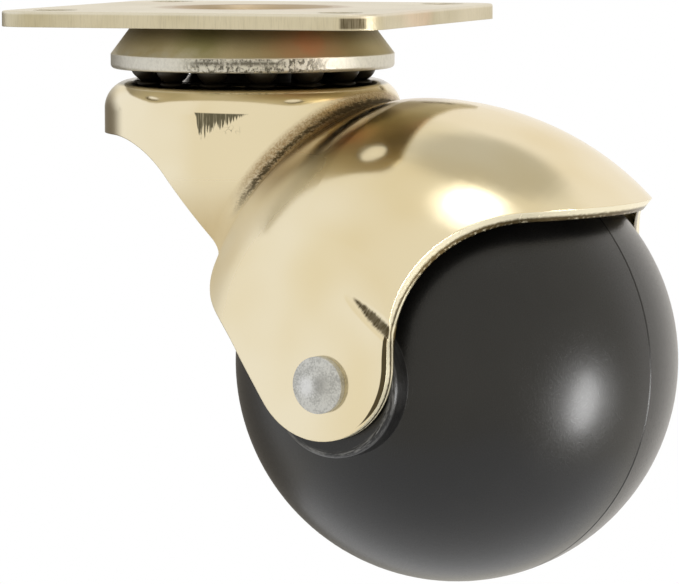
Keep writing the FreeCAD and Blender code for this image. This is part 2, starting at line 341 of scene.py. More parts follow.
@dataclass(frozen=True)
class HoodForm:
    """The hood's main forms in millimetres, to which its marks are set."""

    turret_r: float = 17.45
    crown_x: float = 23.6
    crown_drop: float = 42.4
    dome_r: float = 32.3
    front_l: float = 23.5
    rear_l: float = 35.2
    mean_l: float = 34.0
    ear_face: float = 28.6
    tip_x: float = 27.8
    tip_z: float = -37.6
    tip_r: float = 8.8

    def dome_share(self, spot: Spot) -> Value:
        """Where a place stands on the dome's egg.

        Args:
            spot: Place in the hood's frame.

        Returns:
            The place's distance from the egg's middle as a share of the skin's: 1 on the skin, less inside.
        """
        along = spot.x - self.crown_x
        front = along.at_most(0.0) / self.front_l
        rear = along.at_least(0.0) / self.rear_l
        sideways, up = spot.y / self.dome_r, (spot.z + self.crown_drop) / self.dome_r
        return spot.shader.length(front, rear, sideways, up)

    def past_wall(self, spot: Spot) -> Value:
        """Distance outwards from the turret's wall."""
        return spot.radius - self.turret_r

    def from_crease(self, spot: Spot) -> Value:
        """Rough distance from the line where the turret's wall meets the dome."""
        from_dome = (self.dome_share(spot) - 1.0) * self.mean_l
        return self.past_wall(spot).at_least(from_dome)


@dataclass(frozen=True)
class CreaseTone:
    """Duller metal in and beside the crease, where polishing hardly reaches, with a painted brown reflection
    and shade there.
    """

    reach: Span = (2.8, 1.6)
    heights: Span = (-23.0, -17.0)
    ahead: Span = (5.0, 9.0)
    glint_scale: float = 4.0
    glint: Span = (0.6, 0.4)
    hollow_reflection: Span = (0.55, 0.95)
    lap_start: Span = (1.0, 3.5)
    lap_end: Span = (11.0, 8.0)
    lap_heights: Span = (-22.0, -17.5)
    lap_reflection: float = 0.6
    soft_reach: Span = (16.0, 10.0)
    soft_side: Span = (0.5, 3.0)
    soft_heights: Span = (-13.0, -20.5)
    wall_heights: Span = (-17.5, -22.0)
    leg_ahead: Span = (13.0, 7.0)
    leg_heights: Span = (-20.0, -25.0)
    hollow_dull: float = 0.18
    soft_dull: float = 0.45
    leg_dull: float = 0.25

    def hollow(self, spot: Spot, away: Value) -> Value:
        """The crease's own hollow."""
        return away.ramp(*self.reach) * spot.within(z=self.heights, x=self.ahead)

    def tinted(self, spot: Spot, form: HoodForm, colour: Value, hollow: Value, tint: Colour) -> Value:
        """The colour with the painted brown reflection and shade in the crease and on the dome's side of it.

        Args:
            spot: Place in the hood's frame.
            form: The hood's forms.
            colour: Colour without the tint.
            hollow: Share of the crease's hollow.
            tint: The brown of the painted reflection and shade.

        Returns:
            The colour with the tint.
        """
        # Painted brown reflection and shade in the crease's hollow, with lighter painted glints.
        glint = spot.noise(self.glint_scale, detail=4.0, rough=0.7).ramp(*self.glint)
        colour = spot.shader.blend(hollow * glint.between(*self.hollow_reflection), colour, tint)
        past_wall = form.past_wall(spot)
        # Painted brown reflection on a band of the dome beside the turret's wall.
        reflection_lap = past_wall.ramp(*self.lap_start) * past_wall.ramp(*self.lap_end)
        reflection_lap = reflection_lap * spot.z.ramp(*self.lap_heights)
        return spot.shader.blend(self.lap_reflection * reflection_lap, colour, tint)

    def dullness(self, spot: Spot, form: HoodForm, away: Value, hollow: Value) -> Value:
        """Roughness that the crease, the dome's side of it and the leg have beyond the polish.

        Args:
            spot: Place in the hood's frame.
            form: The hood's forms.
            away: Distance from the crease.
            hollow: Share of the crease's hollow.

        Returns:
            The roughness to be added.
        """
        side = form.past_wall(spot).ramp(*self.soft_side).at_least(spot.z.ramp(*self.wall_heights))
        soft = away.ramp(*self.soft_reach) * side * spot.z.ramp(*self.soft_heights)
        leg = spot.within(x=self.leg_ahead, z=self.leg_heights)
        return self.hollow_dull * hollow + self.soft_dull * soft + self.leg_dull * leg


@dataclass(frozen=True)
class CreaseShadeMark:
    """Dull brushed line with painted shade where the turret's wall runs into the dome."""

    hair_stretch: Triple = (2.0, 2.0, 4.2)
    hair_length: float = 2.6
    reach: Span = (1.35, 0.65)
    heights: Span = (-24.0, -18.5)
    ahead: Span = (5.0, 9.0)
    strength: float = 0.9

    def share(self, spot: Spot, away: Value) -> Value:
        """How far the mark covers a place.

        Args:
            spot: Place in the hood's frame.
            away: Distance from the crease.

        Returns:
            A share from 0 to 1.
        """
        hair = spot.streaks(self.hair_stretch, detail=5.0, rough=0.7)
        frayed = away + self.hair_length * (hair - 0.5)
        return frayed.ramp(*self.reach) * spot.within(z=self.heights, x=self.ahead) * self.strength


@dataclass(frozen=True)
class ValleyShade:
    """Dark hatched wedge of painted shade in the groove above each ear."""

    start_x: float = 32.3
    start_z: float = -30.5
    run_x: float = 0.774
    run_z: float = 0.634
    hatch_stretch: Triple = (11.0, 1.3, 0.2)
    half_start: float = 0.08
    half_growth: float = 0.15
    half_most: float = 0.50
    edge: Span = (0.24, -0.16)
    start_fade: Span = (-0.4, 0.4)
    end_fade: Span = (6.6, 5.8)
    fray: Span = (0.35, 1.65)
    strength: Span = (0.74, 1.14)

    def share(self, spot: Spot) -> Value:
        """How far the wedge covers a place.

        Args:
            spot: Place in the hood's frame.

        Returns:
            A share from 0 to a little over 1.
        """
        along_x, along_z = spot.x - self.start_x, spot.z - self.start_z
        run = along_x * self.run_x - along_z * self.run_z
        across = along_x * self.run_z + along_z * self.run_x
        by_run, by_across, by_y = self.hatch_stretch
        swept = spot.shader.joined(run * by_run, across * by_across, spot.y * by_y)
        hatch = spot.shader.noise(swept, 1.0, detail=4.0)
        half = (self.half_start + self.half_growth * run).at_most(self.half_most)
        away = abs(across) - half * hatch.between(*self.fray)
        ends = run.ramp(*self.start_fade) * run.ramp(*self.end_fade)
        return away.ramp(*self.edge) * ends * hatch.ramp(*PLAIN_CONTRAST).between(*self.strength)


@dataclass(frozen=True)
class CombReflection:
    """Dull patch of painted dark reflection on the turret's near wall, with teeth down from its upper edge.
    """

    left: float = 3.4
    length: float = 6.3
    top: float = -11.45
    slope: float = 0.15
    tooth: float = 2.9
    tooth_length: Span = (0.55, 1.35)
    teeth_stretch: Triple = (5.5, 5.5, 0.25)
    hair_stretch: Triple = (9.0, 9.0, 0.3)
    hair: Span = (0.52, 0.66)
    hair_gap: Span = (1.0, 0.72)
    left_fade: Span = (-0.02, 0.15)
    right_fade: Span = (1.05, 0.9)
    top_fade: Span = (0.0, 0.15)
    tooth_fade: Span = (0.0, 0.35)
    near_side: Span = (-11.0, -13.0)
    hook_scale: float = 1.3
    hook_line: Span = (0.5, 0.03)
    hook_share: Span = (0.68, 0.2)
    hook_height: Span = (-13.5, 0.7)
    hook_strength: float = 0.8
    strength: float = 0.92

    def share(self, spot: Spot) -> Value:
        """How far the patch covers a place.

        Args:
            spot: Place in the hood's frame.

        Returns:
            A share from 0 to 1.
        """
        teeth = spot.streaks(self.teeth_stretch).ramp(*PLAIN_CONTRAST)
        hairs = spot.streaks(self.hair_stretch, detail=2.0).ramp(*self.hair)
        share = (spot.x - self.left) / self.length
        depth = self.tooth * (1.0 - share) * share.ramp(*self.left_fade) * teeth.between(*self.tooth_length)
        below = self.top - self.slope * share - spot.z
        patch = below.ramp(*self.top_fade) * (depth - below).ramp(*self.tooth_fade)
        patch = patch * hairs.between(*self.hair_gap)
        hooks = spot.noise(self.hook_scale, detail=1.0).near(*self.hook_line)
        hooks = hooks * share.near(*self.hook_share) * spot.z.near(*self.hook_height)
        wall = share.ramp(*self.right_fade) * spot.y.ramp(*self.near_side)
        return patch.at_least(self.hook_strength * hooks) * wall * self.strength


@dataclass(frozen=True)
class CutEdge:
    """Painted highlight and shade lines along the sheet's cut edges, broken by torn texture."""

    across_skin: Span = (0.72, 0.55)
    across_ear: Span = (0.80, 0.65)
    ahead: Span = (24.0, 27.0)
    skin_l: float = 30.0
    highlight_depths: Span = (0.95, 0.55)
    inner_line: Span = (1.22, 0.30)
    inner_heights: Span = (-27.0, -31.0)
    torn_scale: float = 2.2
    torn: Span = (0.5, 0.7)
    torn_share: float = 0.6
    torn_depth: float = 0.35

    def lines(self, spot: Spot, form: HoodForm) -> tuple[Value, Value]:
        """Finds the cut edge by the way it faces, and its lines by their depth under the skin.

        Args:
            spot: Place in the hood's frame.
            form: The hood's forms.

        Returns:
            Where the cut edge is, and which of its lines carry a painted highlight; the rest carry painted
            shade.
        """
        shader = spot.shader
        facing = shader.node("ShaderNodeTexCoord", {}, {}).out("Normal")
        facing = CASTOR.along_trail(shader, facing, "NORMAL")
        middle = (form.crown_x, 0.0, -form.crown_drop)
        out = shader.vector_maths("NORMALIZE", shader.vector_maths("SUBTRACT", spot.place, middle))
        _, sideways, _ = shader.parts(facing)
        cut = abs(shader.dot(facing, out)).ramp(*self.across_skin) * abs(sideways).ramp(*self.across_ear)
        skin = (1.0 - form.dome_share(spot)) * self.skin_l
        depth = skin.at_least(0.0).at_most(form.ear_face - abs(spot.y))
        torn = spot.noise(self.torn_scale, detail=4.0)
        # The upper lines of each cut edge, and an inner line that is fullest at the bottom, take a painted
        # highlight; the lines below them take painted shade.
        inner = spot.z.ramp(*self.inner_heights).at_least(torn.ramp(*self.torn) * self.torn_share)
        inner = depth.near(*self.inner_line) * inner
        bright = (depth + self.torn_depth * (torn - 0.5)).ramp(*self.highlight_depths).at_least(inner)
        return cut * spot.x.ramp(*self.ahead), bright


@dataclass(frozen=True)
class EarShadeStrip:
    """Dark tapered strip of painted shade on each ear's face, along its back edge."""

    inset: float = 0.30
    half: Span = (0.30, 0.46)
    waver_scale: float = 0.5
    fade: Span = (0.0, 0.10)
    tip_taper: Span = (32.0, 36.2)
    root_taper: Span = (-30.5, -37.5)
    on_face: Span = (28.0, 28.3)

    def share(self, spot: Spot, form: HoodForm) -> Value:
        """How far the strip covers a place.

        Args:
            spot: Place in the hood's frame.
            form: The hood's forms.

        Returns:
            A share from 0 to 1.
        """
        below = (spot.z - form.tip_z).at_most(0.0)
        inside = form.tip_r - spot.shader.length(spot.x - form.tip_x, below)
        taper = spot.within(x=self.tip_taper, z=self.root_taper)
        half = spot.noise(self.waver_scale, detail=2.0).between(*self.half) * taper
        # Painted shade just inside the ear's rounded back edge.
        return (half - abs(inside - self.inset)).ramp(*self.fade) * abs(spot.y).ramp(*self.on_face)


@dataclass(frozen=True)
class PolishedBrass(Finish):
    """Pale brass plate on a drawn sheet, polished, with dull marks where the wheel can't reach, painted
    shade and reflections at its crease, grooves and turret wall, and painted highlight and shade along its
    cut and ear edges.
    """

    name = "polished_brass"
    cream: Colour = (0.825, 0.738, 0.540)
    gold: Colour = (0.760, 0.640, 0.395)
    # Brown of the painted shade along the crease, in the ear grooves and along the ears' back edges.
    brown: Colour = (0.075, 0.056, 0.027)
    # Olive of the painted dark reflection on the turret's wall.
    olive: Colour = (0.078, 0.070, 0.040)
    # Painted highlight and painted shade of the cut edges' lines.
    edge_highlight: Colour = (0.930, 0.840, 0.600)
    edge_shade: Colour = (0.120, 0.085, 0.035)
    # Brown of the painted reflection and shade in and beside the crease.
    painted_reflection_brown: Colour = (0.300, 0.200, 0.095)
    # Colour of the darker band on the turret's top under the cup.
    grease: Colour = (0.030, 0.025, 0.012)
    polish: float = 0.10
    dull: float = 0.40
    smear_dull: float = 0.06
    line_dull: float = 0.03
    edge_dull: float = 0.12
    edge_metal: Span = (1.0, 0.35)
    wave_height: float = 0.93
    line_height: float = 0.03
    mark_depth: float = 0.5
    ripple_mm: float = 0.03
    edge_mm: float = 0.22
    cloud_scale: float = 0.05
    cloud: Span = (0.35, 0.7)
    wave_scale: float = 0.08
    line_stretch: Triple = (2.4, 2.4, 0.16)
    line_contrast: Span = (0.5, 0.75)
    smear_stretch: Triple = (0.5, 0.5, 0.09)
    # Place of the darker band on the turret's top under the cup.
    grease_r: Span = (16.1, 15.6)
    under_cup_heights: Span = (-9.7, -9.2)
    grease_share: float = 0.9
    form: HoodForm = HoodForm()
    tone: CreaseTone = CreaseTone()
    crease: CreaseShadeMark = CreaseShadeMark()
    valley_shade: ValleyShade = ValleyShade()
    comb_reflection: CombReflection = CombReflection()
    cut: CutEdge = CutEdge()
    strip: EarShadeStrip = EarShadeStrip()

    def surface(self, shader: Shader) -> Placed:
        """Adds the brass: tint, polishing lines, dull marks with painted shade and reflection, and the
        painted highlight and shade lines of the cut edges.

        Args:
            shader: The material's tree.

        Returns:
            The shader node.
        """
        spot = self.hood_spot(shader)
        away = self.form.from_crease(spot)
        hollow = self.tone.hollow(spot, away)
        crease = self.crease.share(spot, away)
        valley_shade = self.valley_shade.share(spot)
        comb_reflection = self.comb_reflection.share(spot)
        edge, bright = self.cut.lines(spot, self.form)
        colour = self.plated(spot, hollow)
        # Painted shade along the crease, in brown.
        colour = shader.blend(crease, colour, self.brown)
        # Painted shade in the ear grooves and along the ears' back edges, in brown.
        colour = shader.blend(valley_shade.at_least(self.strip.share(spot, self.form)), colour, self.brown)
        # Painted dark reflection on the turret's near wall, in olive.
        colour = shader.blend(comb_reflection, colour, self.olive)
        # Cut edges: painted highlight lines over painted shade lines; the highlight is less metallic.
        colour = shader.blend(edge, colour, shader.blend(bright, self.edge_shade, self.edge_highlight))
        mark = crease.at_least(valley_shade).at_least(comb_reflection)
        lines = spot.streaks(self.line_stretch, detail=4.0)
        rough = self.polish + self.smear_dull * spot.streaks(self.smear_stretch)
        rough = rough + self.line_dull * lines.ramp(*self.line_contrast)
        rough = rough + (self.dull - self.polish) * mark + self.edge_dull * edge
        rough = rough + self.tone.dullness(spot, self.form, away, hollow)
        height = self.wave_height * spot.noise(self.wave_scale, detail=1.0)
        height = height + self.line_height * lines - self.mark_depth * mark
        return shader.node("ShaderNodeBsdfPrincipled", {}, {
            "Base Color": colour,
            "Metallic": (edge * bright).between(*self.edge_metal),
            "Roughness": rough,
            "Normal": self.normal(shader, height, self.ripple_mm, self.edge_mm),
        })

    def plated(self, spot: Spot, hollow: Value) -> Value:
        """Colour of the plating, with the crease's painted brown reflection and shade, and a darker band on
        the turret's top under the cup.

        Args:
            spot: Place in the hood's frame.
            hollow: Share of the crease's hollow.

        Returns:
            The colour.
        """
        cloud = spot.noise(self.cloud_scale, detail=2.0).ramp(*self.cloud)
        colour = spot.shader.blend(cloud, self.cream, self.gold)
        # Painted brown reflection and shade in and beside the crease.
        colour = self.tone.tinted(spot, self.form, colour, hollow, self.painted_reflection_brown)
        # Darker band on the turret's top under the cup.
        grease = spot.within(radius=self.grease_r, z=self.under_cup_heights)
        return spot.shader.blend(self.grease_share * grease, colour, self.grease)


@dataclass(frozen=True)
class Stain:
    """A soft round tint about a centre, frayed by noise."""

    centre: Triple
    reach: float
    strength: float
    core: float = 0.3
    fray: float = 0.5
    fray_scale: float = 0.5

    def share(self, spot: Spot) -> Value:
        """How far the stain covers a place.

        Args:
            spot: Place in the part's frame.

        Returns:
            A share from 0 to 1.
        """
        offset = spot.shader.vector_maths("SUBTRACT", spot.place, self.centre)
        away = spot.shader.length(*spot.shader.parts(offset))
        away = away + self.fray * self.reach * (spot.noise(self.fray_scale) - 0.5)
        return away.ramp(self.reach, self.core * self.reach) * self.strength


@dataclass(frozen=True)
class PlateMarks:
    """The plate's shear lines, painted highlight along its upper edge and top, dark near corner, painted
    shade in its holes, and dish.
    """

    # Colour of the painted highlight along the plate's upper edge and top.
    bright: Colour = (0.860, 0.825, 0.730)
    shadow: Colour = (0.085, 0.065, 0.032)
    dish: Colour = (0.420, 0.300, 0.185)
    sheet: Span = (-2.0, -1.8)
    shear: Span = (0.44, 0.72)
    shear_share: float = 0.14
    lip_highlight: Span = (-0.45, -0.15)
    lip_highlight_share: float = 0.5
    corner_left: Span = (19.3, 19.8)
    corner_right: Span = (22.4, 21.9)
    corner_near: Span = (-21.3, -21.8)
    corner_top: Span = (-0.35, -0.55)
    corner_foot: Span = (-1.75, -1.5)
    corner_shear: Span = (0.4, 0.6)
    corner_share: Span = (0.72, 0.92)
    hole_place: float = 17.5
    hole_wall: Span = (2.8, 2.65)
    hole_top: Span = (-0.10, -0.35)
    hole_shade_share: float = 0.8
    dish_r: Span = (12.5, 10.0)
    dish_foot: Span = (-2.6, -2.2)
    dish_share: float = 0.7

    def laid_on(self, spot: Spot, colour: Value, streak: Value) -> Value:
        """The colour with the plate's marks, its painted highlight and its painted shade.

        Args:
            spot: Place in the part's frame.
            colour: Colour without the marks.
            streak: Noise drawn out along the plate's thickness.

        Returns:
            The colour with the marks.
        """
        blend, x, y, z = spot.shader.blend, spot.x, spot.y, spot.z
        plate = z.ramp(*self.sheet)
        colour = blend(plate * streak.ramp(*self.shear) * self.shear_share, colour, self.shadow)
        # Painted highlight along the plate's upper edge and on its top.
        colour = blend(plate * z.ramp(*self.lip_highlight) * self.lip_highlight_share, colour, self.bright)
        corner = spot.within(x=self.corner_left, y=self.corner_near, z=self.corner_top)
        corner = corner * spot.within(x=self.corner_right, z=self.corner_foot)
        corner = corner * streak.ramp(*self.corner_shear).between(*self.corner_share)
        colour = blend(corner, colour, self.shadow)
        # Painted shade on the walls of the mounting holes.
        from_hole = spot.shader.length(abs(x) - self.hole_place, abs(y) - self.hole_place)
        hole_shade = from_hole.ramp(*self.hole_wall) * z.ramp(*self.hole_top)
        colour = blend(hole_shade * self.hole_shade_share, colour, self.shadow)
        dish = spot.within(radius=self.dish_r, z=self.dish_foot)
        return blend(dish * self.dish_share, colour, self.dish)


@dataclass(frozen=True)
class CupMarks:
    """The cup's cone with painted shade that deepens upwards under the plate, its frost, silvery rim and
    grease inside.
    """

    shadow: Colour = (0.085, 0.065, 0.032)
    silver: Colour = (0.680, 0.665, 0.610)
    grease: Colour = (0.035, 0.028, 0.015)
    cone_r: Span = (13.2, 13.8)
    cone_top: Span = (-1.8, -2.0)
    plate_shade: Span = (-5.0, -2.4)
    plate_shade_share: float = 0.85
    frost_scale: float = 0.5
    frost_share: float = 0.8
    frost_top: Span = (-3.8, -5.2)
    frost_side: Span = (5.0, -3.0)
    rim_r: Span = (16.2, 16.5)
    rim_top: Span = (-5.2, -5.5)
    rim_share: float = 0.75
    inside_r: Span = (15.4, 14.9)
    inside_top: Span = (-4.2, -4.6)
    grease_share: float = 0.9

    def laid_on(self, spot: Spot, colour: Value) -> Value:
        """The colour with the cup's marks and its painted shade.

        Args:
            spot: Place in the part's frame.
            colour: Colour without the marks.

        Returns:
            The colour with the marks.
        """
        blend = spot.shader.blend
        cone = spot.within(radius=self.cone_r, z=self.cone_top)
        # Painted shade on the cone, deepest at its top under the plate.
        colour = blend(cone * spot.z.ramp(*self.plate_shade) * self.plate_shade_share, colour, self.shadow)
        frost = cone * spot.noise(self.frost_scale, detail=4.0).ramp(*PLAIN_CONTRAST)
        frost = frost * spot.within(z=self.frost_top, x=self.frost_side)
        rim = spot.within(radius=self.rim_r, z=self.rim_top)
        colour = blend((self.frost_share * frost).at_least(self.rim_share * rim), colour, self.silver)
        inside = spot.within(radius=self.inside_r, z=self.inside_top)
        return blend(inside * self.grease_share, colour, self.grease)


@dataclass(frozen=True)
class RimTear:
    """Torn stretch of the cup's sheared rim, with a scar along its upper edge."""

    rim_r: Span = (16.2, 16.5)
    rim_top: Span = (-5.35, -5.55)
    left: Span = (-3.0, 0.5)
    right: Span = (14.0, 10.5)
    near_side: Span = (-4.0, -8.0)
    tear_stretch: Triple = (2.6, 2.6, 1.8)
    tear: Span = (0.46, 0.60)
    torn_share: Span = (0.12, 1.0)
    scar_height: Span = (-5.95, 0.45)
    scar_right: Span = (10.5, 8.0)
    scar: Span = (0.30, 0.50)

    def share(self, spot: Spot) -> Value:
        """How far the tear covers a place.

        Args:
            spot: Place in the part's frame.

        Returns:
            A share from 0 to 1.
        """
        rim = spot.within(radius=self.rim_r, z=self.rim_top)
        stretch = spot.within(x=self.left, y=self.near_side) * spot.x.ramp(*self.right)
        tear = spot.streaks(self.tear_stretch, detail=5.0, rough=0.7)
        scar = spot.z.near(*self.scar_height) * spot.x.ramp(*self.scar_right)
        scar = scar * stretch * tear.ramp(*self.scar)
        return rim * (tear.ramp(*self.tear) * stretch.between(*self.torn_share)).at_least(scar)


@dataclass(frozen=True)
class ZincPassivate(Finish):
    """Pale yellow passivate on zinc, with rainbow tints and sheared edges."""

    name = "zinc_passivate"
    pale: Colour = (0.690, 0.625, 0.465)
    olive: Colour = (0.440, 0.385, 0.225)
    copper: Colour = (0.800, 0.480, 0.330)
    green: Colour = (0.330, 0.340, 0.130)
    torn: Colour = (0.105, 0.095, 0.072)
    rough: Span = (0.28, 0.46)
    streak_height: float = 0.5
    grain_height: float = 0.3
    tear_depth: float = 1.5
    tear_share: float = 0.9
    grain_scale: float = 3.0
    grain_mm: float = 0.04
    edge_mm: float = 0.18
    streak_stretch: Triple = (9.0, 9.0, 0.5)
    cloud_scale: float = 0.07
    cloud: Span = (0.30, 0.8)
    cloud_share: float = 0.8
    red_scale: float = 0.055
    red: Span = (0.58, 0.70)
    red_share: float = 0.3
    leaf_stretch: Triple = (0.05, 0.07, 0.05)
    leaf: Span = (0.60, 0.72)
    leaf_share: float = 0.4
    copper_halo: Stain = Stain((11.2, -10.5, -3.7), 7.0, 0.35)
    copper_core: Stain = Stain((11.2, -10.5, -3.7), 3.2, 0.85)
    green_stain: Stain = Stain((-0.8, -15.2, -3.4), 4.5, 0.45)
    plate: PlateMarks = PlateMarks()
    cup: CupMarks = CupMarks()
    tear: RimTear = RimTear()

    def surface(self, shader: Shader) -> Placed:
        """Adds the passivate, with the marks of the plate and those of the cup, painted highlight and shade
        among them.

        Args:
            shader: The material's tree.

        Returns:
            The shader node.
        """
        spot = self.spot(shader)
        streak = spot.streaks(self.streak_stretch, detail=4.0)
        grain = spot.noise(self.grain_scale)
        tear = self.tear.share(spot)
        colour = self.plate.laid_on(spot, self.tinted(spot), streak)
        colour = self.cup.laid_on(spot, colour)
        colour = shader.blend(tear * self.tear_share, colour, self.torn)
        height = self.streak_height * streak + self.grain_height * grain - self.tear_depth * tear
        return shader.node("ShaderNodeBsdfPrincipled", {}, {
            "Base Color": colour,
            "Metallic": 1.0,
            "Roughness": grain.between(*self.rough),
            "Normal": self.normal(shader, height, self.grain_mm, self.edge_mm),
        })

    def tinted(self, spot: Spot) -> Value:
        """Clouds of yellow and olive, with copper and green stains.

        Args:
            spot: Place in the part's frame.

        Returns:
            The colour.
        """
        blend = spot.shader.blend
        cloud = spot.noise(self.cloud_scale).ramp(*self.cloud)
        colour = blend(cloud * self.cloud_share, self.pale, self.olive)
        red = spot.noise(self.red_scale, detail=1.0).ramp(*self.red) * self.red_share
        red = red.at_least(self.copper_halo.share(spot))
        red = red.at_least(self.copper_core.share(spot))
        colour = blend(red, colour, self.copper)
        leaf = spot.streaks(self.leaf_stretch, detail=1.0).ramp(*self.leaf) * self.leaf_share
        leaf = leaf.at_least(self.green_stain.share(spot))
        return blend(leaf, colour, self.green)


@dataclass(frozen=True)
class DullZinc(Finish):
    """Matt grey zinc on a headed pin, speckled by the plating barrel."""

    name = "dull_zinc"
    pale: Colour = (0.700, 0.700, 0.670)
    dark: Colour = (0.470, 0.470, 0.450)
    # Colour of the painted shade near the middle of an axle head.
    dent_shade: Colour = (0.330, 0.330, 0.320)
    # Colour of the painted highlight beside the middle of an axle head.
    rivet_highlight: Colour = (0.860, 0.865, 0.870)
    grease: Colour = (0.030, 0.024, 0.014)
    speck_scale: float = 4.5
    speck: Span = (0.40, 0.64)
    speck_share: float = 0.55
    cloud_scale: float = 0.5
    fray: float = 1.2
    dent_ahead: float = 0.5
    dent_r: Span = (1.3, 0.2)
    dent_shade_share: float = 0.55
    highlight_ahead: float = -1.2
    highlight_up: float = -0.2
    highlight_r: Span = (1.7, 0.3)
    highlight_share: float = 0.7
    grease_r: Span = (12.0, 11.0)
    grease_top: Span = (-3.4, -4.4)
    rough: Span = (0.48, 0.68)
    speck_mm: float = 0.035
    edge_mm: float = 0.2

    def surface(self, shader: Shader) -> Placed:
        """Adds the zinc, with painted shade just off the middle of an axle head and a painted highlight
        beside it.

        Args:
            shader: The material's tree.

        Returns:
            The shader node.
        """
        spot = self.hood_spot(shader)
        speck = spot.noise(self.speck_scale, detail=4.0)
        cloud = spot.noise(self.cloud_scale, detail=2.0)
        mottle = self.speck_share * speck + (1.0 - self.speck_share) * cloud
        colour = shader.blend(mottle.ramp(*self.speck), self.pale, self.dark)
        fray = self.fray * (speck - 0.5)
        # Painted shade just off the middle of the axle head.
        dent_shade = (spot.from_axle(self.dent_ahead) + fray).ramp(*self.dent_r)
        colour = shader.blend(dent_shade * self.dent_shade_share, colour, self.dent_shade)
        # Painted highlight beside the middle of the axle head.
        rivet_highlight = (spot.from_axle(self.highlight_ahead, self.highlight_up) + fray).ramp(*self.highlight_r)
        colour = shader.blend(rivet_highlight * self.highlight_share, colour, self.rivet_highlight)
        greased = spot.within(radius=self.grease_r, z=self.grease_top)
        colour = shader.blend(greased, colour, self.grease)
        return shader.node("ShaderNodeBsdfPrincipled", {}, {
            "Base Color": colour,
            "Metallic": 0.8,
            "Roughness": speck.between(*self.rough),
            "Normal": self.normal(shader, speck, self.speck_mm, self.edge_mm),
        })


@dataclass(frozen=True)
class GreasedSteel(Finish):
    """Bearing steel under a dark film of grease."""

    name = "greased_steel"
    steel: Colour = (0.260, 0.230, 0.170)
    grease: Colour = (0.035, 0.026, 0.014)
    film_scale: float = 0.55
    film: Span = (0.22, 0.44)
    metal: Span = (1.0, 0.4)
    rough: Span = (0.16, 0.38)
    film_mm: float = 0.04
    edge_mm: float = 0.05

    def surface(self, shader: Shader) -> Placed:
        """Adds the steel and its grease.

        Args:
            shader: The material's tree.

        Returns:
            The shader node.
        """
        film = self.spot(shader).noise(self.film_scale).ramp(*self.film)
        return shader.node("ShaderNodeBsdfPrincipled", {}, {
            "Base Color": shader.blend(film, self.steel, self.grease),
            "Metallic": film.between(*self.metal),
            "Roughness": film.between(*self.rough),
            "Normal": self.normal(shader, film, self.film_mm, self.edge_mm),
        })


@dataclass(frozen=True)
class MouldedRubber(Finish):
    """Satin black rubber with a fine moulded grain and thin worn arcs round its hub."""

    name = "moulded_rubber"
    black: Colour = (0.0045, 0.0043, 0.0040)
    worn: Colour = (0.0085, 0.0080, 0.0074)
    scuff: Colour = (0.260, 0.255, 0.240)
    cloud_scale: float = 0.09
    cloud: Span = (0.35, 0.7)
    grain_scale: float = 9.0
    rough: Span = (0.24, 0.33)
    scuff_dull: float = 0.3
    grain_mm: float = 0.022
    edge_mm: float = 0.15
    hub_face: Span = (23.2, 23.6)
    arc_stretch: Triple = (5.0, 3.0, 1.5)
    rim: Span = (7.95, 0.50)
    rim_breaks: Span = (0.46, 0.60)
    root: Span = (8.7, 0.30)
    root_breaks: Span = (0.52, 0.70)
    root_share: float = 0.2

    def surface(self, shader: Shader) -> Placed:
        """Adds the rubber.

        Args:
            shader: The material's tree.

        Returns:
            The shader node.
        """
        spot = self.hood_spot(shader)
        cloud = spot.noise(self.cloud_scale).ramp(*self.cloud)
        grain = spot.noise(self.grain_scale, detail=2.0)
        hub = self.hub_arcs(spot)
        return shader.node("ShaderNodeBsdfPrincipled", {}, {
            "Base Color": shader.blend(hub, shader.blend(cloud, self.black, self.worn), self.scuff),
            "Roughness": grain.between(*self.rough) + self.scuff_dull * hub,
            "Specular IOR Level": 0.35,
            "Coat Weight": 0.3,
            "Coat Roughness": 0.22,
            "Normal": self.normal(shader, grain, self.grain_mm, self.edge_mm),
        })

    def hub_arcs(self, spot: Spot) -> Value:
        """Broken bright arcs on the rim of each hub boss, and fainter ones at its root.

        Args:
            spot: Place in the hood's frame.

        Returns:
            How far an arc covers the place, from 0 to 1.
        """
        shader, radius = spot.shader, spot.from_axle()
        turn = shader.maths("ARCTAN2", spot.z + CASTOR.drop, spot.x - CASTOR.trail)
        by_radius, by_turn, by_y = self.arc_stretch
        swept = shader.joined(radius * by_radius, turn * by_turn, spot.y * by_y)
        broken = shader.noise(swept, 1.0, detail=5.0, rough=0.75)
        rim = radius.near(*self.rim) * broken.ramp(*self.rim_breaks)
        root = radius.near(*self.root) * broken.ramp(*self.root_breaks) * self.root_share
        return rim.at_least(root) * abs(spot.y).ramp(*self.hub_face)


@dataclass(frozen=True)
class PaleFloor(Finish):
    """Pale matt floor that shows nearly white, also in the metal, and keeps a faint shadow."""

    name = "pale_floor"
    paint: Colour = (0.90, 0.90, 0.90)
    glow: float = 0.96

    def surface(self, shader: Shader) -> Placed:
        """Adds the paint and its glow.

        Args:
            shader: The material's tree.

        Returns:
            The shader node.
        """
        paint = shader.node("ShaderNodeBsdfDiffuse", {}, {"Color": self.paint})
        glow = shader.node("ShaderNodeEmission", {}, {"Color": WHITE, "Strength": 1.0})
        path = shader.node("ShaderNodeLightPath", {}, {})
        seen = path.out("Is Camera Ray").at_least(path.out("Is Glossy Ray"))
        share = seen.at_least(path.out("Is Transmission Ray")) * self.glow
        return shader.node("ShaderNodeMixShader", {}, {0: share, 1: paint, 2: glow})


class Look(Enum):
    """Finishes of the castor, by the record's material slot."""

    PLATE = "plate_zinc"
    RIVET = "rivet_zinc"
    BEARING = "bearing_steel"
    HOOD = "hood_brass"
    BALL = "ball_rubber"


